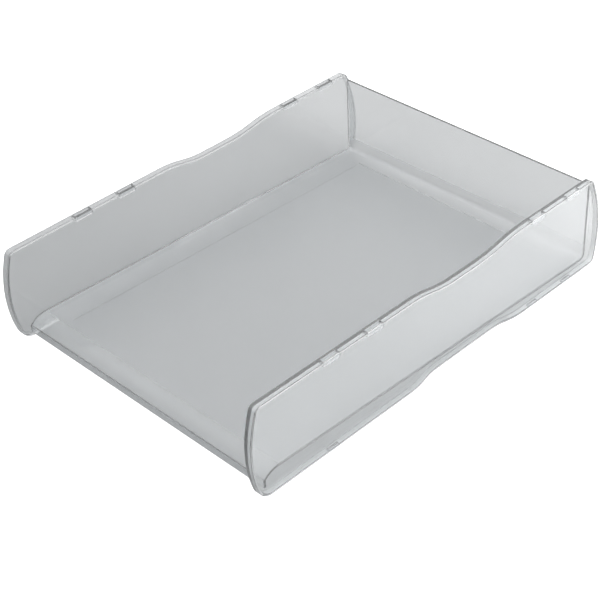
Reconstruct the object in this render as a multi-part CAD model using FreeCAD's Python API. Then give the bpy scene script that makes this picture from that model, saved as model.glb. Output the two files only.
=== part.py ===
# A clear, stackable letter tray for A4 and foolscap sheets, open at the front.
# The tray is one plastic moulding. Its nodes are the regions of that moulding, each a closed
# solid that meets its neighbours face to face, so that every region can be named and reused.
# The rims, rails and webs are cut where the finger grip begins and ends, and the floor is cut round
# its panel.
# Frame: +X across the tray, +Y from the open front to the rear wall, +Z up.
# The origin is below the middle of the tray, on the surface that the pegs stand on.
import FreeCAD, Part
import math
import os

# Driving dimensions, mm
inner_width = 240.0  # between the side webs
tray_depth = 358.0  # over the bulged ends of the sides
wall = 2.0  # webs, flanges and rear wall
floor_thickness = 1.8
flange_width = 6.0  # from a web's inner face to the flange's outer edge
side_height = 76.9  # from the rail's underside to the rim's top
peg_height = 1.5  # pegs stand this far below the rail

# Outline of a side, seen along X
front_arc_radius = 104.0
front_arc_height = 40.0  # of its foremost point above the rail's underside
rear_arc_radius = 108.0
rear_arc_height = 28.0  # of its rearmost point
front_top_radius = 5.0
front_bottom_radius = 12.0
rear_top_radius = 6.0
rear_bottom_radius = 5.0
grip_rise = 5.3  # the rim dips and the rail arches by this much, to leave a finger grip
rim_dip = (-32.0, 15.0, 35.0, 93.0)  # y where the dip starts, is deepest, stays, and ends
rail_arch = (-29.0, -4.0, 51.0, 93.0)  # the same for the rail's arch
flange_split = 162.0  # the rim and rail stop this far from the middle, where the end flanges begin
stretches = ("front", "grip", "rear")  # each rim, rail and web has these three, in this order

# Floor, lip and rear wall
floor_front = -152.0  # y where the floor begins to roll over into the lip
floor_front_height = 15.6  # its top, above the rail's underside
floor_rear_height = 6.0
lip_reach = 13.8  # how far the lip runs forward as it rolls over
lip_drop = 8.8  # how far it drops
lip_hem = 3.2  # straight bit at the lip's lower edge
lip_split = 9.8  # the lip's crest ends this far forward of the floor, and its face begins
rear_wall_face = 168.2  # y of its inner face
rear_wall_height = 70.6  # its top, above the rail's underside
panel_half_width = 96.0  # sheets lie on this shallow panel
panel_recess = 0.4
panel_front = -145.0
ramp_front = 155.3  # y where the floor's ramp to the rear wall begins
ramp_back = 164.9  # y where it turns up into the cove
ramp_step = 0.5
ramp_rise = 1.1
cove_radius = 3.3

# Stacking features
socket_centres = (-105.6, -65.0, 104.2, 144.2)  # y
socket_length = 14.2
socket_width = 2.9
socket_depth = 3.4  # from the rim's top to the socket's floor
socket_wall = 1.0
socket_corner = 1.0
peg_centres = (-105.6, 104.2, 144.2)  # y
peg_length = 9.6
peg_width = 2.4
peg_wall = 0.7

# Worked out from the above
half_inner = inner_width / 2
web_outer = half_inner + wall
flange_edge = half_inner + flange_width
half_depth = tray_depth / 2
rail_z = peg_height
rim_z = rail_z + side_height
front_arc_centre = (front_arc_radius - half_depth, rail_z + front_arc_height)
rear_arc_centre = (half_depth - rear_arc_radius, rail_z + rear_arc_height)
socket_middle = web_outer + socket_width / 2
floor_slope = (floor_front_height - floor_rear_height) / (rear_wall_face - floor_front)
clear_cut = 50.0  # how far a cutting block runs past what it cuts
same_place = 0.01  # two points nearer than this are one


def point(y, z):
    return FreeCAD.Vector(0.0, y, z)


def box(x_range, y_range, z_range):
    """A block between two corners."""
    size = [high - low for low, high in (x_range, y_range, z_range)]
    return Part.makeBox(*size, FreeCAD.Vector(x_range[0], y_range[0], z_range[0]))


def prism(edges, x_from, x_to):
    """The closed outline of edges in the YZ plane, run along X."""
    face = Part.Face(Part.Wire(Part.__sortEdges__(edges)))
    face.translate(FreeCAD.Vector(x_from, 0, 0))
    return face.extrude(FreeCAD.Vector(x_to - x_from, 0, 0))


def line(start, end):
    return Part.makeLine(start, end)


def s_curve(start, end):
    """A smooth step from start to end that leaves and arrives level."""
    half_run = (end.y - start.y) / 2
    curve = Part.BezierCurve()
    curve.setPoles([start, point(start.y + half_run, start.z), point(end.y - half_run, end.z), end])
    return curve.toShape()


def level_with_step(y_start, y_end, level, step, stations):
    """Edges of a level line that steps up or down between its four stations and back again."""
    first, second, third, fourth = stations
    return [
        line(point(y_start, level), point(first, level)),
        s_curve(point(first, level), point(second, level + step)),
        line(point(second, level + step), point(third, level + step)),
        s_curve(point(third, level + step), point(fourth, level)),
        line(point(fourth, level), point(y_end, level)),
    ]


def front_arc_y(z, inset):
    radius = front_arc_radius - inset
    return front_arc_centre[0] - math.sqrt(radius ** 2 - (z - front_arc_centre[1]) ** 2)


def rear_arc_y(z, inset):
    radius = rear_arc_radius - inset
    return rear_arc_centre[0] + math.sqrt(radius ** 2 - (z - rear_arc_centre[1]) ** 2)


def side_block(inset, x_from, x_to):
    """A side's outline moved inwards by inset, run along X, with its four corners rounded."""
    top = rim_z - inset
    bottom = rail_z + inset
    front_top = point(front_arc_y(top, inset), top)
    front_bottom = point(front_arc_y(bottom, inset), bottom)
    rear_top = point(rear_arc_y(top, inset), top)
    rear_bottom = point(rear_arc_y(bottom, inset), bottom)
    foremost = point(inset - half_depth, front_arc_centre[1])
    rearmost = point(half_depth - inset, rear_arc_centre[1])
    edges = level_with_step(front_top.y, rear_top.y, top, -grip_rise, rim_dip)
    edges += level_with_step(front_bottom.y, rear_bottom.y, bottom, grip_rise, rail_arch)
    edges.append(Part.Arc(front_bottom, foremost, front_top).toShape())
    edges.append(Part.Arc(rear_bottom, rearmost, rear_top).toShape())
    block = prism(edges, x_from, x_to)
    corners = (
        (front_top, front_top_radius),
        (front_bottom, front_bottom_radius),
        (rear_top, rear_top_radius),
        (rear_bottom, rear_bottom_radius),
    )
    for corner, radius in corners:
        block = block.makeFillet(radius - inset, [corner_edge(block, corner)])
    return block


def corner_edge(block, corner):
    """The edge along X that passes through a corner of the outline."""
    def distance(edge):
        return max(math.hypot(v.Y - corner.y, v.Z - corner.z) for v in edge.Vertexes)

    return min(block.Edges, key=distance)


def side_ring():
    """The flange that runs round a side, from the web's inner face outwards."""
    return side_block(0.0, half_inner, flange_edge).cut(side_block(wall, half_inner, flange_edge))


def side_web():
    """The upright sheet inside the flange."""
    return side_block(wall, half_inner, web_outer)


def part_between(shape, y_range, z_range):
    return shape.common(box((half_inner - clear_cut, flange_edge + clear_cut), y_range, z_range))


def three_stretches(shape, name, y_limits, z_range):
    """The front, grip and rear stretches of a shape, cut at the inner two of four y limits."""
    return {
        stretch + name: part_between(shape, (y_from, y_to), z_range)
        for stretch, y_from, y_to in zip(stretches, y_limits, y_limits[1:])
    }


def socket_hole(centre):
    """The hollow of one socket, through the rim and down to the socket's floor."""
    half = socket_length / 2
    hole = box(
        (web_outer, web_outer + socket_width),
        (centre - half, centre + half),
        (rim_z - socket_depth, rim_z),
    )
    return rounded_below(hole, socket_corner)


def rounded_below(block, radius):
    """A block with its two lower edges across the tray rounded."""
    level = block.BoundBox.ZMin + same_place
    edges = [e for e in block.Edges if e.BoundBox.ZMax < level and e.BoundBox.YLength < same_place]
    return block.makeFillet(radius, edges)


def socket_cup(centre):
    """The pocket under the rim that a peg of the tray above drops into."""
    half = socket_length / 2 + socket_wall
    cup = box(
        (web_outer, web_outer + socket_width + socket_wall),
        (centre - half, centre + half),
        (rim_z - socket_depth - socket_wall, rim_z - wall),
    )
    return rounded_below(cup, socket_corner + socket_wall).cut(socket_hole(centre))


def peg_block(centre, inset, z_range):
    """The outside of a peg, or the hollow in it when moved inwards by inset."""
    half_width = peg_width / 2 - inset
    half_length = peg_length / 2 - inset
    return box(
        (socket_middle - half_width, socket_middle + half_width),
        (centre - half_length, centre + half_length),
        z_range,
    )


def peg_hollow(centre):
    return peg_block(centre, peg_wall, (peg_wall, rail_z + wall))


def peg(centre):
    """A hollow stacking peg, which is also a foot."""
    return peg_block(centre, 0.0, (0.0, peg_height)).cut(peg_hollow(centre))


def without(shape, cutters):
    for cutter in cutters:
        shape = shape.cut(cutter)
    return shape


def side_nodes():
    """The regions of the side at +X."""
    ring = side_ring()
    middle = (rail_z + rim_z) / 2
    past_end = half_depth + clear_cut
    whole = (rail_z - clear_cut, rim_z + clear_cut)
    upper = (middle, rim_z + clear_cut)
    lower = (rail_z - clear_cut, middle)
    rim = without(ring, [socket_hole(y) for y in socket_centres])
    rail = without(ring, [peg_hollow(y) for y in peg_centres])
    rim_cuts = (-flange_split, rim_dip[1], rim_dip[2], flange_split)
    rail_cuts = (-flange_split, rail_arch[1], rail_arch[2], flange_split)
    web_cuts = (-past_end, rail_arch[1], rail_arch[2], past_end)
    nodes = {
        "front_flange": part_between(ring, (-past_end, -flange_split), whole),
        "rear_flange": part_between(ring, (flange_split, past_end), whole),
        "stacking_sockets": Part.makeCompound([socket_cup(y) for y in socket_centres]),
        "stacking_pegs": Part.makeCompound([peg(y) for y in peg_centres]),
    }
    nodes.update(three_stretches(rim, "_rim", rim_cuts, upper))
    nodes.update(three_stretches(rail, "_rail", rail_cuts, lower))
    nodes.update(three_stretches(side_web(), "_web", web_cuts, whole))
    return nodes


def floor_top(y):
    """Height of the floor's upper face, which falls evenly towards the rear."""
    return rail_z + floor_rear_height + (rear_wall_face - y) * floor_slope


def outline(points):
    """Straight edges round a closed list of points."""
    return [line(start, end) for start, end in zip(points, points[1:] + points[:1])]


def floor_plate(x_range, y_range, lowered=0.0):
    """A stretch of the floor, with its upper face lowered."""
    front, back = y_range
    edges = outline([
        point(front, floor_top(front) - lowered),
        point(back, floor_top(back) - lowered),
        point(back, floor_top(back) - floor_thickness),
        point(front, floor_top(front) - floor_thickness),
    ])
    return prism(edges, *x_range)


def floor_nodes():
    """The shallow panel that sheets lie on, and the margins round it."""
    panel_x = (-panel_half_width, panel_half_width)
    return {
        "floor_panel": floor_plate(panel_x, (panel_front, ramp_front), panel_recess),
        "front_margin": floor_plate((-half_inner, half_inner), (floor_front, panel_front)),
        "left_margin": floor_plate((-half_inner, -panel_half_width), (panel_front, rear_wall_face)),
        "right_margin": floor_plate((panel_half_width, half_inner), (panel_front, rear_wall_face)),
    }


def quarter_ellipse(centre, half_run, half_rise):
    """A quarter of a flat ellipse, from its foremost point up to the point above its centre."""
    foremost = point(centre.y - half_run, centre.z)
    upright = point(centre.y, centre.z + half_rise)
    return Part.ArcOfEllipse(Part.Ellipse(foremost, upright, centre), 0, math.pi / 2).toShape()


def lip_nodes():
    """The floor's front edge, rolled over and down in a quarter of an ellipse: its crest and face."""
    centre = point(floor_front, floor_top(floor_front) - lip_drop)
    hem = centre.z - lip_hem
    outside = centre.y - lip_reach
    inside = outside + floor_thickness
    edges = [
        quarter_ellipse(centre, lip_reach, lip_drop),
        quarter_ellipse(centre, lip_reach - floor_thickness, lip_drop - floor_thickness),
        line(point(outside, centre.z), point(outside, hem)),
        line(point(outside, hem), point(inside, hem)),
        line(point(inside, hem), point(inside, centre.z)),
        line(point(centre.y, centre.z + lip_drop), point(centre.y, centre.z + lip_drop - floor_thickness)),
    ]
    lip = prism(edges, -half_inner, half_inner)
    split = floor_front - lip_split
    reach = (centre.z - clear_cut, centre.z + clear_cut)
    across = (-half_inner, half_inner)
    return {
        "lip_crest": lip.common(box(across, (split, floor_front), reach)),
        "lip_face": lip.common(box(across, (split - clear_cut, split), reach)),
    }


def rear_ramp():
    """The floor behind the panel: a low step and a ramp, which turns up into the rear wall in a cove."""
    ramp_top = floor_top(ramp_back) + ramp_rise
    cove_middle = cove_radius * (1 - math.sqrt(0.5))
    start = point(ramp_front, floor_top(ramp_front) - floor_thickness)
    step_top = point(ramp_front, floor_top(ramp_front) + ramp_step)
    cove_start = point(ramp_back, ramp_top)
    cove_end = point(rear_wall_face, ramp_top + cove_radius)
    cove_through = point(rear_wall_face - cove_middle, ramp_top + cove_middle)
    foot = point(rear_wall_face, floor_top(rear_wall_face) - floor_thickness)
    edges = [
        line(start, step_top),
        line(step_top, cove_start),
        Part.Arc(cove_start, cove_through, cove_end).toShape(),
        line(cove_end, foot),
        line(foot, start),
    ]
    return prism(edges, -panel_half_width, panel_half_width)


def rear_wall():
    return box(
        (-half_inner, half_inner),
        (rear_wall_face, rear_wall_face + wall),
        (floor_top(rear_wall_face) - floor_thickness, rail_z + rear_wall_height),
    )


def tray_nodes():
    """Every region of the tray by name."""
    nodes = {"rear_ramp": rear_ramp(), "rear_wall": rear_wall()}
    nodes.update(floor_nodes())
    nodes.update(lip_nodes())
    across = FreeCAD.Vector(1, 0, 0)
    for name, shape in side_nodes().items():
        nodes["right_" + name] = shape
        nodes["left_" + name] = shape.mirror(FreeCAD.Vector(0, 0, 0), across)
    return nodes


os.makedirs("parts", exist_ok=True)
for name, shape in tray_nodes().items():
    shape.exportStep("parts/" + name + ".step")
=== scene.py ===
import bmesh
import bpy
import math
from mathutils import Matrix, Vector


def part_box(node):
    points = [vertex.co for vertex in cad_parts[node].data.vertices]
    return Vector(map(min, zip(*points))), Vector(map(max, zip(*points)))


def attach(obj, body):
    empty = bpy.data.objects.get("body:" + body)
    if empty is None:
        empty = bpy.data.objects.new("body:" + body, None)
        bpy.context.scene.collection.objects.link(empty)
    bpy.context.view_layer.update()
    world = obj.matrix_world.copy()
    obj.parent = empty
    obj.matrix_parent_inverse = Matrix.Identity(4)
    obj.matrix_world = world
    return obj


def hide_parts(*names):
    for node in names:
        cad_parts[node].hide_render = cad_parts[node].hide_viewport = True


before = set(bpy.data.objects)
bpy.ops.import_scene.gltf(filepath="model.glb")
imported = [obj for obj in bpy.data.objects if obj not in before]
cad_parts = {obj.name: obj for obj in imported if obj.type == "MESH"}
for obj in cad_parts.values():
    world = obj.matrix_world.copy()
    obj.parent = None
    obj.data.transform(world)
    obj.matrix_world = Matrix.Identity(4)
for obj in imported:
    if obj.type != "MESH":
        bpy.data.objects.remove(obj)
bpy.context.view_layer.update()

# A clear letter tray, made as the one moulding that it is: a folded sheet for its lip, floor and rear
# wall, fused with two flanged sides, which carry stacking sockets above and stacking pegs below.

MM = 0.001

# ---------------------------------------------------------------- measures taken from the frame
WEB_LOW, WEB_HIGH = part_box("right_front_web")
BACK_LOW, BACK_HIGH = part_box("rear_wall")
RAMP_LOW, RAMP_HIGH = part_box("rear_ramp")
RIM_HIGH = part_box("right_front_rim")[1]
RAIL_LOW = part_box("right_front_rail")[0]
CREST_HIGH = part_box("lip_crest")[1]
FACE_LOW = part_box("lip_face")[0]
MARGIN_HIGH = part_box("front_margin")[1]

INNER = WEB_LOW.x  # a web's inner face
WEB_OUTER = WEB_HIGH.x
WALL = WEB_HIGH.x - WEB_LOW.x
EDGE = RIM_HIGH.x  # the flanges' outer edge
RIM_TOP = RIM_HIGH.z
RAIL_UNDER = RAIL_LOW.z
RIM_DIP = RIM_HIGH.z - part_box("right_grip_rim")[1].z
RAIL_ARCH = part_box("right_grip_rail")[0].z - RAIL_LOW.z
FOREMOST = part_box("right_front_flange")[0].y
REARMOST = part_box("right_rear_flange")[1].y
PANEL_HALF = RAMP_HIGH.x
PANEL_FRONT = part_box("floor_panel")[0].y

# ---------------------------------------------------------------- measures of the outline of a side
FRONT_BULGE = (104.0 * MM, 40.0 * MM)  # radius, and height of its foremost point above the rail
REAR_BULGE = (108.0 * MM, 28.0 * MM)
FRONT_TOP_RADIUS = 5.0 * MM
FRONT_BOTTOM_RADIUS = 12.0 * MM
REAR_TOP_RADIUS = 6.0 * MM
REAR_BOTTOM_RADIUS = 5.0 * MM
DIP_STATIONS = [y * MM for y in (-32.0, 15.0, 35.0, 93.0)]  # where it starts, is deepest, stays, ends
ARCH_STATIONS = [y * MM for y in (-29.0, -4.0, 51.0, 93.0)]
WAVE_STEPS = 14
BULGE_STEPS = 26
CORNER_STEPS = 8

# ---------------------------------------------------------------- measures of the folded sheet
SHEET = 1.8 * MM  # thickness of the floor and lip
REAR_FLOOR = RAMP_LOW.z + SHEET  # the floor's height at the rear wall
PANEL_DEPTH = 0.4 * MM
RAMP_STEP = 0.5 * MM
RAMP_RISE = 1.1 * MM
COVE = 3.3 * MM  # radius between the floor and the rear wall
FOOT = COVE + SHEET  # radius of the rear wall's outer lower corner
COVE_STEPS = 6
LIP_HEM = 3.2 * MM  # straight bit at the lip's lower edge
LIP_TURN = math.radians(50)  # the roll ends here and runs straight on to the lip's edge
LIP_CHAMFER = 0.25 * MM
LIP_STEPS = 12
FILLET = 0.6 * MM  # radius where the sheet meets a side
FILLET_STEPS = 5
FILLET_FADES = (3.3 * MM, 1.1 * MM)  # below the rear wall's top: whole up to the first, gone at the next

# ---------------------------------------------------------------- measures of the stacking features
SOCKET_CENTRES = [y * MM for y in (-105.6, -65.0, 104.2, 144.2)]
SOCKET_LENGTH = 14.2 * MM
SOCKET_WIDTH = 2.9 * MM
SOCKET_DEPTH = 3.4 * MM
SOCKET_WALL = 1.0 * MM
SOCKET_CORNER = 1.0 * MM
SOCKET_GAP = 0.02 * MM  # keeps a socket's hole off the web's face
SOCKET_MIDDLE = WEB_OUTER + SOCKET_WIDTH / 2
CUP_WALL = 0.75 * MM  # of its outer side, which stays behind the rim's eased edge
CUP_CORNER = 1.9 * MM
CUP_EASE = 0.25 * MM
CUP_CORNER_STEPS = 8
PEG_CENTRES = [y * MM for y in (-105.6, 104.2, 144.2)]
PEG_LENGTH = 9.6 * MM
PEG_WIDTH = 2.4 * MM
PEG_WALL = 0.7 * MM
PEG_EASE = 0.35 * MM

# ---------------------------------------------------------------- measures of edges and joins
EASE = 0.55 * MM  # radius of the moulding's eased edges
EASE_STEPS = 4
EDGE_STEPS = 3
FINE_EDGE_STEPS = 2
BENT = 40.0  # degrees: an edge of a side that turns more than this is eased
SQUARE = 60.0  # degrees: an edge that turns more than this is a block's square edge
SHARP = 35.0  # degrees: an edge that turns more than this is shaded as an edge
BITE = 0.5 * MM  # how far one part reaches into another where they are fused
CUT_PAST = 10.0 * MM  # how far a cutting block stands out of what it cuts
HAIR = 0.03 * MM  # a fillet ends this far inside the side
SAME_PLACE = 0.001 * MM
MERGE_WITHIN = 2 * SAME_PLACE
SLIVER_SIDES = 6


# ---------------------------------------------------------------- outlines, seen along X
def level_step(start, end):
    """Points of a smooth step from start to end that leaves and arrives level."""
    points = []
    for i in range(WAVE_STEPS + 1):
        t = i / WAVE_STEPS
        along = 1.5 * t - 1.5 * t * t + t ** 3
        rise = 3 * t * t - 2 * t ** 3
        y = start[0] + (end[0] - start[0]) * along
        z = start[1] + (end[1] - start[1]) * rise
        points.append((y, z))
    return points


def waved_level(level, step, stations):
    """A level line with one smooth dip or arch in it, from front to rear."""
    first, second, third, fourth = stations
    there = level_step((first, level), (second, level + step))
    back = level_step((third, level + step), (fourth, level))
    return there + back


def arc(centre, radius, start, end, steps):
    """Points on a circle, from one angle to another."""
    turn = (end - start) / steps
    angles = [start + i * turn for i in range(steps + 1)]
    return [(centre[0] + radius * math.cos(a), centre[1] + radius * math.sin(a)) for a in angles]


def end_curve(bulge, furthest, facing, top_radius, bottom_radius):
    """A bulged end with its rounded corners, from the rim down to the rail.

    facing is 1 at the rear end and -1 at the front end.
    """
    radius, height = bulge
    centre_y = furthest - facing * radius
    centre_z = RAIL_UNDER + height
    top_reach = radius - top_radius
    top_z = RIM_TOP - top_radius
    top_y = centre_y + facing * math.sqrt(top_reach ** 2 - (top_z - centre_z) ** 2)
    top_angle = math.asin((top_z - centre_z) / top_reach)
    bottom_reach = radius - bottom_radius
    bottom_z = RAIL_UNDER + bottom_radius
    bottom_y = centre_y + facing * math.sqrt(bottom_reach ** 2 - (bottom_z - centre_z) ** 2)
    bottom_angle = math.asin((bottom_z - centre_z) / bottom_reach)
    rounds = (
        (top_y, top_z, arc((0, 0), top_radius, math.pi / 2, top_angle, CORNER_STEPS)),
        (centre_y, centre_z, arc((0, 0), radius, top_angle, bottom_angle, BULGE_STEPS)[1:-1]),
        (bottom_y, bottom_z, arc((0, 0), bottom_radius, bottom_angle, -math.pi / 2, CORNER_STEPS)),
    )
    return [
        (middle_y + facing * y, middle_z + z)
        for middle_y, middle_z, points in rounds
        for y, z in points
    ]


def side_outline():
    """The closed outline of a side."""
    top = waved_level(RIM_TOP, -RIM_DIP, DIP_STATIONS)
    bottom = waved_level(RAIL_UNDER, RAIL_ARCH, ARCH_STATIONS)
    rear = end_curve(REAR_BULGE, REARMOST, 1, REAR_TOP_RADIUS, REAR_BOTTOM_RADIUS)
    front = end_curve(FRONT_BULGE, FOREMOST, -1, FRONT_TOP_RADIUS, FRONT_BOTTOM_RADIUS)
    return top + rear + bottom[::-1] + front[::-1]


def floor_top(y):
    """Height of the sloping floor, away from its panel and ramp."""
    slope = (MARGIN_HIGH.z - REAR_FLOOR) / (BACK_LOW.y - CREST_HIGH.y)
    return REAR_FLOOR + (BACK_LOW.y - y) * slope


def lip_curve(inset):
    """One face of the lip, from its hem up to the floor: upright, then a crisp edge, then a roll."""
    centre_y = CREST_HIGH.y
    centre_z = FACE_LOW.z + LIP_HEM
    reach = centre_y - FACE_LOW.y - inset
    drop = CREST_HIGH.z - centre_z - inset
    turns = [LIP_TURN * (1 - i / LIP_STEPS) for i in range(LIP_STEPS + 1)]
    roll = [(centre_y - reach * math.sin(a), centre_z + drop * math.cos(a)) for a in turns]
    slope = drop * math.tan(LIP_TURN) / reach
    front_y = centre_y - reach
    edge_z = roll[0][1] - slope * (roll[0][0] - front_y)
    upright = [(front_y, centre_z), (front_y, edge_z - LIP_CHAMFER)]
    return upright + [(front_y + LIP_CHAMFER, edge_z + slope * LIP_CHAMFER)] + roll


def upper_line():
    """The sheet's upper face: up over the lip, along the floor and up the rear wall."""
    cove = arc((BACK_LOW.y - COVE, REAR_FLOOR + COVE), COVE, -math.pi / 2, 0, COVE_STEPS)
    wall = [(BACK_LOW.y, BACK_HIGH.z - below) for below in FILLET_FADES]
    return lip_curve(0.0) + cove + wall


def lower_line():
    """The wall's eased top and outer face, the sheet's under face and the lip's eased hem."""
    top = BACK_HIGH.z - EASE
    wall = arc((BACK_LOW.y + EASE, top), EASE, math.pi, math.pi / 2, EASE_STEPS)
    wall += arc((BACK_HIGH.y - EASE, top), EASE, math.pi / 2, 0, EASE_STEPS)
    corner = arc((BACK_HIGH.y - FOOT, BACK_LOW.z + FOOT), FOOT, 0, -math.pi / 2, COVE_STEPS)
    foot = FACE_LOW.z + EASE
    hem = arc((FACE_LOW.y + SHEET - EASE, foot), EASE, 0, -math.pi / 2, EASE_STEPS)
    hem += arc((FACE_LOW.y + EASE, foot), EASE, -math.pi / 2, -math.pi, EASE_STEPS)
    return wall + corner + lip_curve(SHEET)[::-1] + hem


def normals_of(path):
    """The direction square to a path at each of its points, and none at its two ends."""
    normals = []
    for (y0, z0), (y1, z1) in zip(path[:1] + path[:-1], path[1:] + path[-1:]):
        length = math.hypot(y1 - y0, z1 - z0)
        normals.append(((z0 - z1) / length, (y1 - y0) / length))
    normals[0] = normals[-1] = (0.0, 0.0)
    return normals


# ---------------------------------------------------------------- mesh helpers
def flat_face(bm, points, x):
    """One face in the YZ plane at x."""
    return bm.faces.new([bm.verts.new((x, y, z)) for y, z in points])


def run_along_x(bm, face, distance):
    """Extrudes a face along X and returns the new face at the far end."""
    result = bmesh.ops.extrude_face_region(bm, geom=[face])
    far = [g for g in result["geom"] if isinstance(g, bmesh.types.BMVert)]
    bmesh.ops.translate(bm, verts=far, vec=(distance, 0, 0))
    return next(g for g in result["geom"] if isinstance(g, bmesh.types.BMFace))


def prism(points, x_from, x_to):
    """A closed block from an outline in the YZ plane, run along X."""
    bm = bmesh.new()
    run_along_x(bm, flat_face(bm, points, x_from), x_to - x_from)
    bmesh.ops.recalc_face_normals(bm, faces=bm.faces)
    return bm


def block(low, high):
    """A block between two corners."""
    bm = bmesh.new()
    bmesh.ops.create_cube(bm, size=1.0)
    low, high = Vector(low), Vector(high)
    bmesh.ops.scale(bm, vec=high - low, verts=bm.verts)
    bmesh.ops.translate(bm, vec=(low + high) / 2, verts=bm.verts)
    return bm


def ease_edges(bm, width, segments, sharper_than, beyond_x=-math.inf):
    """Rounds the edges of a block that turn sharply and lie beyond a place along X."""
    limit = math.radians(sharper_than)
    edges = [e for e in bm.edges if e.is_manifold and e.calc_face_angle() > limit]
    edges = [e for e in edges if min(v.co.x for v in e.verts) > beyond_x]
    bmesh.ops.bevel(
        bm, geom=edges, offset=width, offset_type="OFFSET", affect="EDGES", segments=segments,
        profile=0.5, material=-1, clamp_overlap=True, miter_outer="ARC", miter_inner="SHARP",
    )


def round_lower_corners(bm, radius):
    """Rounds a block's two lower edges that run across the tray."""
    low = min(v.co.z for v in bm.verts)
    edges = [e for e in bm.edges if all(abs(v.co.z - low) < SAME_PLACE for v in e.verts)]
    edges = [e for e in edges if abs(e.verts[0].co.x - e.verts[1].co.x) > SAME_PLACE]
    bmesh.ops.bevel(
        bm, geom=edges, offset=radius, offset_type="OFFSET", affect="EDGES", segments=CUP_CORNER_STEPS,
        profile=0.5, material=-1,
    )


def mirrored(bm):
    """The same block on the other side of the tray."""
    copy = bm.copy()
    bmesh.ops.scale(copy, vec=(-1, 1, 1), verts=copy.verts)
    bmesh.ops.reverse_faces(copy, faces=copy.faces)
    return copy


def as_object(bm, name):
    """Makes a mesh into an object in the scene."""
    mesh = bpy.data.meshes.new(name)
    bm.to_mesh(mesh)
    bm.free()
    obj = bpy.data.objects.new(name, mesh)
    bpy.context.scene.collection.objects.link(obj)
    return obj


def join_solid(base, tool_bm, operation):
    """Adds a closed block to base, or takes it away, and leaves one closed skin."""
    tool = as_object(tool_bm, "tool")
    modifier = base.modifiers.new("solid", "BOOLEAN")
    modifier.object = tool
    modifier.operation = operation
    modifier.solver = "EXACT"
    depsgraph = bpy.context.evaluated_depsgraph_get()
    result = bpy.data.meshes.new_from_object(base.evaluated_get(depsgraph))
    base.modifiers.clear()
    base.data = result
    bpy.data.objects.remove(tool)


def close_slivers(mesh):
    """Merges points that lie together and fills the hair-thin gaps that fusing leaves."""
    bm = bmesh.new()
    bm.from_mesh(mesh)
    bmesh.ops.remove_doubles(bm, verts=bm.verts, dist=MERGE_WITHIN)
    bmesh.ops.dissolve_degenerate(bm, edges=bm.edges, dist=MERGE_WITHIN)
    bmesh.ops.holes_fill(bm, edges=[e for e in bm.edges if e.is_boundary], sides=SLIVER_SIDES)
    bm.to_mesh(mesh)
    bm.free()


# ---------------------------------------------------------------- the parts of the moulding
def side_channel():
    """The right side: an upright sheet with a flange all round its outer face."""
    bm = bmesh.new()
    outer = run_along_x(bm, flat_face(bm, side_outline(), INNER), EDGE - INNER)
    bmesh.ops.recalc_face_normals(bm, faces=bm.faces)
    bmesh.ops.inset_region(bm, faces=[outer], thickness=WALL, use_even_offset=True, use_boundary=True)
    sunk = bmesh.ops.extrude_discrete_faces(bm, faces=[outer])["faces"][0]
    bmesh.ops.translate(bm, verts=sunk.verts, vec=(WEB_OUTER - EDGE, 0, 0))
    bmesh.ops.recalc_face_normals(bm, faces=bm.faces)
    ease_edges(bm, EASE, EDGE_STEPS, BENT)
    return bm


def fillet_stations():
    """Where the sheet's sections lie across the tray, and how far a fillet lifts its upper face there."""
    rising = []
    for i in range(FILLET_STEPS + 1):
        turn = i * math.pi / 2 / FILLET_STEPS
        across = INNER + HAIR - FILLET * (1 - math.sin(turn))
        rising.append((across, FILLET * (1 - math.cos(turn))))
    rising.append((INNER + BITE, FILLET))
    return [(-across, lift) for across, lift in reversed(rising)] + rising


def folded_sheet():
    """The lip, the floor and the rear wall in one piece, with a hollow fillet at each side."""
    upper = upper_line()
    normals = normals_of(upper)

    def lifted(lift):
        return [(y + lift * ny, z + lift * nz) for (y, z), (ny, nz) in zip(upper, normals)]

    stations = fillet_stations()
    x, lift = stations[0]
    bm = bmesh.new()
    section = flat_face(bm, lifted(lift) + lower_line(), x)
    for number, (next_x, next_lift) in enumerate(stations[1:]):
        passed = section
        section = run_along_x(bm, section, next_x - x)
        for vert in section.verts:
            for (y, z), (ny, nz) in zip(lifted(lift), normals):
                if math.hypot(vert.co.y - y, vert.co.z - z) < SAME_PLACE:
                    vert.co += (next_lift - lift) * Vector((0, ny, nz))
                    break
        # The first section stays as the sheet's end. The others would be walls inside it.
        if number > 0:
            bmesh.ops.delete(bm, geom=[passed], context="FACES_ONLY")
        x, lift = next_x, next_lift
    bmesh.ops.recalc_face_normals(bm, faces=bm.faces)
    return bm


def panel_cut():
    """The shallow recess that sheets lie on."""
    front, back = PANEL_FRONT, RAMP_LOW.y
    recess = [(front, floor_top(front) - PANEL_DEPTH), (back, floor_top(back) - PANEL_DEPTH)]
    above = [(back, floor_top(back) + CUT_PAST), (front, floor_top(front) + CUT_PAST)]
    return prism(recess + above, -PANEL_HALF, PANEL_HALF)


def ramp():
    """The low step and ramp behind the panel, with its own cove into the rear wall."""
    front, turn, back = RAMP_LOW.y, RAMP_HIGH.y - COVE, RAMP_HIGH.y
    top = floor_top(turn) + RAMP_RISE
    cove = arc((turn, top + COVE), COVE, -math.pi / 2, 0, COVE_STEPS)
    points = [(front, floor_top(front) + RAMP_STEP)] + cove
    points += [(back + BITE, top + COVE), (back + BITE, floor_top(back) - BITE)]
    points += [(front, floor_top(front) - BITE)]
    return prism(points, -PANEL_HALF, PANEL_HALF)


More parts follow.
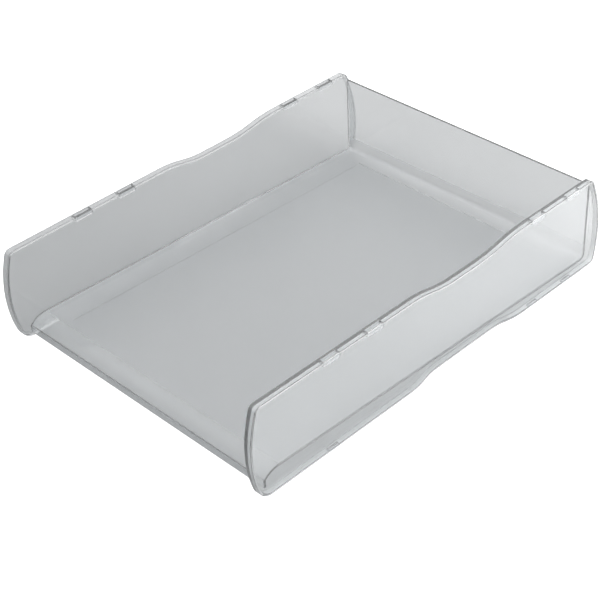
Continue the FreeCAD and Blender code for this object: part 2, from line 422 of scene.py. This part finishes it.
def socket_cup(y):
    """The outside of a stacking socket, which hangs under the rim."""
    half = SOCKET_LENGTH / 2 + SOCKET_WALL
    low = (WEB_OUTER - BITE, y - half, RIM_TOP - SOCKET_DEPTH - SOCKET_WALL)
    high = (WEB_OUTER + SOCKET_WIDTH + CUP_WALL, y + half, RIM_TOP - WALL + BITE)
    bm = block(low, high)
    round_lower_corners(bm, CUP_CORNER)
    ease_edges(bm, CUP_EASE, FINE_EDGE_STEPS, SQUARE, beyond_x=WEB_OUTER + SOCKET_WIDTH)
    return bm


def socket_hole(y):
    """The space inside a stacking socket, open at the rim's top."""
    half = SOCKET_LENGTH / 2
    low = (WEB_OUTER + SOCKET_GAP, y - half, RIM_TOP - SOCKET_DEPTH)
    high = (WEB_OUTER + SOCKET_WIDTH, y + half, RIM_TOP + CUT_PAST)
    bm = block(low, high)
    round_lower_corners(bm, SOCKET_CORNER)
    return bm


def peg_post(y):
    """The outside of a stacking peg, which the tray stands on."""
    half_width, half_length = PEG_WIDTH / 2, PEG_LENGTH / 2
    low = (SOCKET_MIDDLE - half_width, y - half_length, 0.0)
    high = (SOCKET_MIDDLE + half_width, y + half_length, RAIL_UNDER + BITE)
    bm = block(low, high)
    ease_edges(bm, PEG_EASE, FINE_EDGE_STEPS, SQUARE)
    return bm


def peg_hollow(y):
    """The space inside a stacking peg, open at the rail's top."""
    half_width, half_length = PEG_WIDTH / 2 - PEG_WALL, PEG_LENGTH / 2 - PEG_WALL
    low = (SOCKET_MIDDLE - half_width, y - half_length, PEG_WALL)
    high = (SOCKET_MIDDLE + half_width, y + half_length, RAIL_UNDER + CUT_PAST)
    return block(low, high)


def tray_moulding():
    """The whole tray as one closed skin."""
    tray = as_object(folded_sheet(), "tray_moulding")
    join_solid(tray, panel_cut(), "DIFFERENCE")
    join_solid(tray, ramp(), "UNION")
    right = side_channel()
    left = mirrored(right)
    for side in (right, left):
        join_solid(tray, side, "UNION")
    for maker, centres, operation in (
        (socket_cup, SOCKET_CENTRES, "UNION"),
        (socket_hole, SOCKET_CENTRES, "DIFFERENCE"),
        (peg_post, PEG_CENTRES, "UNION"),
        (peg_hollow, PEG_CENTRES, "DIFFERENCE"),
    ):
        for y in centres:
            tool = maker(y)
            twin = mirrored(tool)
            join_solid(tray, tool, operation)
            join_solid(tray, twin, operation)
    close_slivers(tray.data)
    tray.data.shade_smooth()
    tray.data.set_sharp_from_angle(angle=math.radians(SHARP))
    weight = tray.modifiers.new("even_shading", "WEIGHTED_NORMAL")
    weight.keep_sharp = True
    return tray


# ---------------------------------------------------------------- how materials are written
class Value:
    """A socket that a shader can use: maths done on it adds the Math nodes for it."""

    def __init__(self, recipe, socket):
        self.recipe = recipe
        self.socket = socket

    def maths(self, operation, first, second):
        return self.recipe.node("ShaderNodeMath", {"operation": operation}, {0: first, 1: second})

    def __add__(self, other):
        return self.maths("ADD", self, other)

    def __sub__(self, other):
        return self.maths("SUBTRACT", self, other)

    def __rsub__(self, other):
        return self.maths("SUBTRACT", other, self)

    def __mul__(self, other):
        return self.maths("MULTIPLY", self, other)

    def __abs__(self):
        return self.recipe.node("ShaderNodeMath", {"operation": "ABSOLUTE"}, {0: self})

    __radd__ = __add__
    __rmul__ = __mul__


class Recipe:
    """The nodes of one material or world."""

    def __init__(self, owner):
        owner.use_nodes = True
        self.tree = owner.node_tree
        self.tree.nodes.clear()

    def node(self, kind, settings=None, values=None, output=0):
        """Adds a node, sets it up, and gives its sockets their values or links."""
        made = self.tree.nodes.new(kind)
        for name, setting in (settings or {}).items():
            setattr(made, name, setting)
        for name, value in (values or {}).items():
            if isinstance(value, Value):
                self.tree.links.new(value.socket, made.inputs[name])
            else:
                made.inputs[name].default_value = value
        return Value(self, made.outputs[output]) if made.outputs else None

    def along(self, place, axis):
        """How far along X, Y or Z a place or direction is."""
        return self.node("ShaderNodeSeparateXYZ", values={"Vector": place}, output=axis)

    def place(self):
        """Where a point of the piece is, in metres."""
        return self.node("ShaderNodeTexCoord", output="Object")

    def noise(self, place, per_metre, detail=2.0):
        """A soft random pattern from 0 to 1."""
        sockets = {"Vector": place, "Scale": per_metre, "Detail": detail}
        return self.node("ShaderNodeTexNoise", values=sockets)

    def rise(self, value, low, high):
        """0 below low, 1 above high, and a smooth rise between them."""
        sockets = {"Value": value, "From Min": low, "From Max": high}
        return self.node("ShaderNodeMapRange", {"interpolation_type": "SMOOTHSTEP"}, sockets)

    def blend(self, share, first, second):
        """A colour between two others."""
        sockets = {0: share, 6: first, 7: second}
        return self.node("ShaderNodeMix", {"data_type": "RGBA"}, sockets, output=2)

    def is_camera_ray(self):
        return self.node("ShaderNodeLightPath", output="Is Camera Ray")


# ---------------------------------------------------------------- the plastic
PLASTIC_TINT = (0.95, 0.96, 0.965, 1)
PLASTIC_TINT_THICK = (0.92, 0.935, 0.94, 1)
PLASTIC_IOR = 1.57
FLOW_PER_METRE = 14.0  # slow drifts of tint, as the plastic flowed
MILK = (0.52, 0.53, 0.54, 1)
MILK_SHARE = 0.1  # of each skin of the sheet
WALL_ROUGHNESS = 0.12
FLOOR_SATIN = 0.17  # how much rougher the floor is than the walls
SATIN_FADE = 1.0 * MM
SMUDGE_ROUGHNESS = 0.05
SMUDGES_PER_METRE = 60.0
SMUDGE_EDGE = (0.45, 0.75)
RIPPLES_PER_METRE = 45.0
RIPPLE_STRENGTH = 0.05
RIPPLE_HEIGHT = 2.0 * MM


def on_floor(mix, place):
    """1 on the floor between the lip, the sides and the rear wall, and 0 elsewhere."""
    across = abs(mix.along(place, "X"))
    beside = mix.rise(across, INNER - 1.5 * SATIN_FADE, INNER - 0.5 * SATIN_FADE)
    behind_lip = mix.rise(mix.along(place, "Y"), CREST_HIGH.y, CREST_HIGH.y + SATIN_FADE)
    above = mix.rise(mix.along(place, "Z"), CREST_HIGH.z + SATIN_FADE, CREST_HIGH.z + 2 * SATIN_FADE)
    return (1 - beside) * behind_lip * (1 - above)


def clear_plastic():
    """Moulded polystyrene: clear but slightly milky, very faintly rippled and scuffed."""
    material = bpy.data.materials.new("clear_plastic")
    mix = Recipe(material)
    place = mix.place()
    tint = mix.blend(mix.noise(place, FLOW_PER_METRE), PLASTIC_TINT, PLASTIC_TINT_THICK)
    smudges = mix.rise(mix.noise(place, SMUDGES_PER_METRE, detail=4.0), *SMUDGE_EDGE)
    roughness = WALL_ROUGHNESS + SMUDGE_ROUGHNESS * smudges + FLOOR_SATIN * on_floor(mix, place)
    ripple = mix.noise(place, RIPPLES_PER_METRE)
    bump = mix.node("ShaderNodeBump", values={
        "Strength": RIPPLE_STRENGTH, "Distance": RIPPLE_HEIGHT, "Height": ripple,
    })
    clear = mix.node("ShaderNodeBsdfPrincipled", values={
        "Base Color": tint, "Transmission Weight": 1.0, "IOR": PLASTIC_IOR,
        "Roughness": roughness, "Normal": bump,
    })
    milky = mix.node("ShaderNodeBsdfPrincipled", values={
        "Base Color": MILK, "IOR": PLASTIC_IOR, "Roughness": roughness, "Normal": bump,
    })
    skin = mix.node("ShaderNodeMixShader", values={0: MILK_SHARE, 1: clear, 2: milky})
    lets_light_by = mix.node("ShaderNodeBsdfTransparent", values={"Color": PLASTIC_TINT})
    is_shadow = mix.node("ShaderNodeLightPath", output="Is Shadow Ray")
    both = mix.node("ShaderNodeMixShader", values={0: is_shadow, 1: skin, 2: lets_light_by})
    mix.node("ShaderNodeOutputMaterial", values={"Surface": both})
    return material


tray = tray_moulding()
tray.data.materials.clear()
tray.data.materials.append(clear_plastic())
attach(tray, "root")
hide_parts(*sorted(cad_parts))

# ---------------------------------------------------------------- the studio floor
SWEEP_WHITE = (1.0, 1.0, 1.0, 1)
# painted shade: the floor's grey under the tray, which only the plastic shows
SWEEP_PAINTED_SHADE = (0.43, 0.435, 0.44, 1)
SWEEP_SHADE = (0.04, 0.04, 0.04, 1)
BLACK = (0, 0, 0, 1)
SWEEP_ROUGHNESS = 0.9
SWEEP_HALF = 3.0
SWEEP_GAP = 0.05 * MM  # keeps the feet from sharing a plane with the floor
UNDER_TRAY = (-0.15, 0.17)  # stretches of the floor, in metres
BEHIND_TRAY = (0.15, 0.22)
AHEAD_OF_TRAY = (-0.24, -0.175)
BESIDE_TRAY = (0.105, 0.15)
BESIDE_REAR = (-0.05, 0.2)
# how far the painted shade under the tray lifts towards white, under its rear and behind it
PAINTED_SHADE_LIFT_UNDER = 0.16
PAINTED_SHADE_LIFT_BEHIND = 0.24
# painted light: a glow on the floor beside the tray, stronger towards the rear, which is no lamp
PAINTED_SIDE_LIGHT = 0.3
PAINTED_SIDE_LIGHT_REAR = 0.45


def pale_floor_painted_shade_and_light():
    """A pale sweep, evenly white where it is seen directly. Where the plastic shows it, it carries
    painted shade and painted light: grey under the tray, lightening towards the rear and to white beside
    it, near black ahead of it, and a painted glow beside it, which is no lamp, for the plastic to
    reflect.
    """
    material = bpy.data.materials.new("pale_floor_painted_shade_and_light")
    mix = Recipe(material)
    place = mix.place()
    rearwards = mix.along(place, "Y")
    beside = mix.rise(mix.along(place, "X"), *BESIDE_TRAY)
    ahead = 1 - mix.rise(rearwards, *AHEAD_OF_TRAY)
    under = PAINTED_SHADE_LIFT_UNDER * mix.rise(rearwards, *UNDER_TRAY)
    behind = PAINTED_SHADE_LIFT_BEHIND * mix.rise(rearwards, *BEHIND_TRAY)
    painted_shade_lift = under + behind
    # painted shade under the tray, lifting towards the rear and to white beside the tray
    colour = mix.blend(painted_shade_lift + (1 - painted_shade_lift) * beside, SWEEP_PAINTED_SHADE, SWEEP_WHITE)
    # painted shade: near black on the floor ahead of the tray, seen through the lip
    colour = mix.blend(ahead, colour, SWEEP_SHADE)
    # painted light beside the tray, which the plastic reflects and is lit by
    painted_side_light = beside * (PAINTED_SIDE_LIGHT + PAINTED_SIDE_LIGHT_REAR * mix.rise(rearwards, *BESIDE_REAR)) * (1 - ahead)
    # evenly white where seen directly, painted side light where the plastic shows the floor
    white_and_painted_side_light = mix.blend(mix.is_camera_ray(), mix.blend(painted_side_light, BLACK, SWEEP_WHITE), SWEEP_WHITE)
    skin = mix.node("ShaderNodeBsdfPrincipled", values={
        "Base Color": colour, "Roughness": SWEEP_ROUGHNESS,
        "Emission Color": white_and_painted_side_light, "Emission Strength": 1.0,
    })
    mix.node("ShaderNodeOutputMaterial", values={"Surface": skin})
    return material


floor_bm = bmesh.new()
bmesh.ops.create_grid(floor_bm, x_segments=1, y_segments=1, size=SWEEP_HALF)
bmesh.ops.translate(floor_bm, vec=(0, 0, -SWEEP_GAP), verts=floor_bm.verts)
floor = as_object(floor_bm, "studio_floor")
floor.data.materials.append(pale_floor_painted_shade_and_light())

# ---------------------------------------------------------------- light and camera
SURROUND = 0.95
OVERHEAD_LIFT = 0.45
OVERHEAD = (0.6, 0.8)  # stretches of a direction's rise or run
LOW_DROP = 0.25
LOW = (0.05, 0.3)
FRONT_DROP = 0.65
FRONT = (-0.7, -0.3)

AZIMUTH = math.radians(46.51)
ELEVATION = math.radians(36.74)
ROLL = math.radians(-2.93)
CAMERA_PLACE = Vector((0.6597, -0.6370, 0.6863))
LENS = 92.86
SENSOR = 36.0


def studio_light():
    """A white surround with a brighter panel overhead, and darker near the floor and in front."""
    world = bpy.data.worlds.new("studio")
    mix = Recipe(world)
    direction = mix.node("ShaderNodeTexCoord", output="Generated")
    up = mix.along(direction, "Z")
    overhead = mix.rise(up, *OVERHEAD)
    low = 1 - mix.rise(up, *LOW)
    front = 1 - mix.rise(mix.along(direction, "Y"), *FRONT)
    light = SURROUND + OVERHEAD_LIFT * overhead - LOW_DROP * low - FRONT_DROP * low * front
    seen = mix.is_camera_ray()
    strength = seen + (1 - seen) * light
    background = mix.node("ShaderNodeBackground", values={"Color": SWEEP_WHITE, "Strength": strength})
    mix.node("ShaderNodeOutputWorld", values={"Surface": background})
    bpy.context.scene.world = world
    bpy.context.scene.view_settings.view_transform = "Standard"


def studio_camera():
    """A camera above the front right corner of the tray."""
    run = math.cos(ELEVATION)
    back = Vector((math.sin(AZIMUTH) * run, -math.cos(AZIMUTH) * run, math.sin(ELEVATION)))
    level_right = Vector((math.cos(AZIMUTH), math.sin(AZIMUTH), 0))
    right = math.cos(ROLL) * level_right + math.sin(ROLL) * back.cross(level_right)
    up = back.cross(right)
    data = bpy.data.cameras.new("camera")
    data.lens = LENS
    data.sensor_width = SENSOR
    camera = bpy.data.objects.new("camera", data)
    turn = Matrix((right, up, back)).transposed().to_4x4()
    camera.matrix_world = Matrix.Translation(CAMERA_PLACE) @ turn
    bpy.context.scene.collection.objects.link(camera)
    bpy.context.scene.camera = camera


studio_light()
studio_camera()
